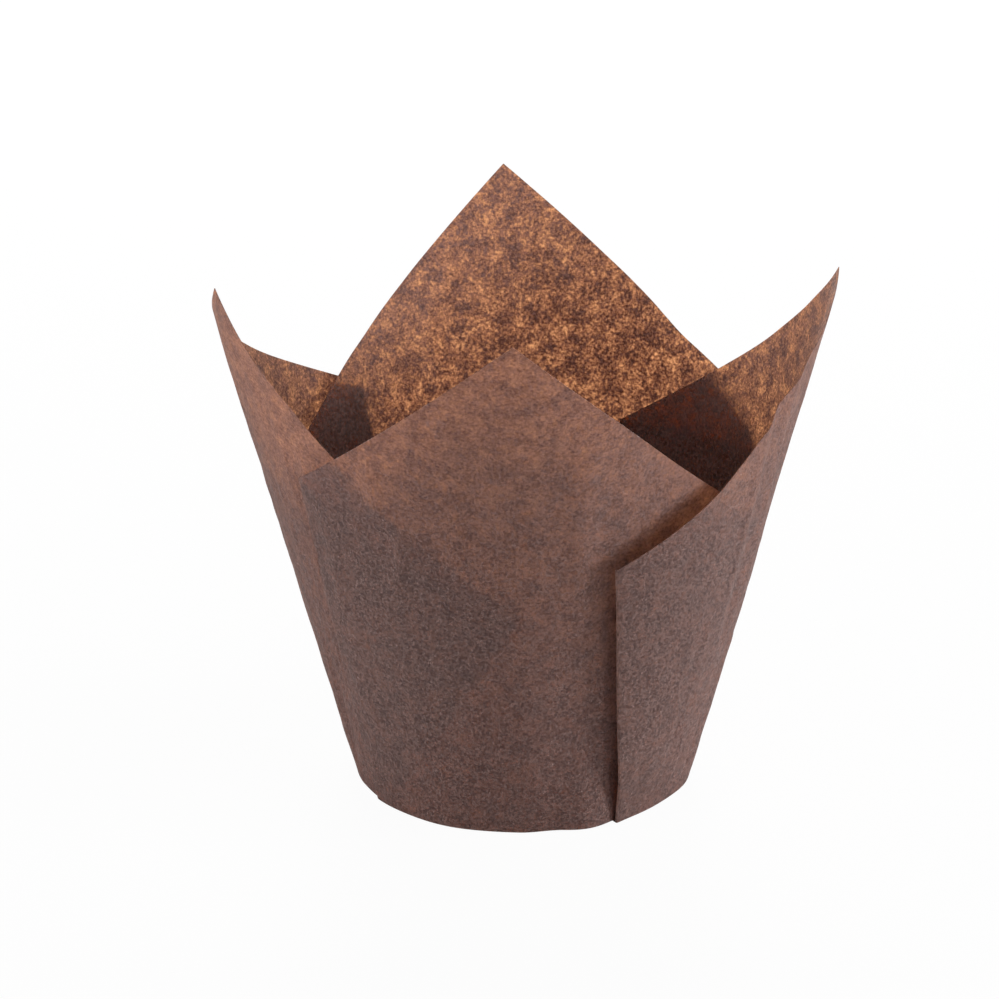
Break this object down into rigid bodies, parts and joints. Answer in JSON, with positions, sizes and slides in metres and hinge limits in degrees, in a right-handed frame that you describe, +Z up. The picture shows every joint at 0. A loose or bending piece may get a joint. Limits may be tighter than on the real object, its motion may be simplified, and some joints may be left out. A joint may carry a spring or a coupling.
{
  "type": "cupcake liner",
  "caption": "Tulip-shaped baking cup folded from one square sheet of brown greaseproof paper, with a flat round floor, pointed petals and flat overlapping pleats.",
  "frame": {"origin": "middle of the floor's underside", "axes": "+Z up out of the mouth, -Y towards the front petal, +X towards the right petal"},
  "size_m": [0.0897, 0.091, 0.0816],
  "materials": {
    "brown_paper": "matte, slightly translucent greaseproof paper"
  },
  "bodies": {
    "root": {"folded_liner": "brown_paper"}
  },
  "joints": []
}
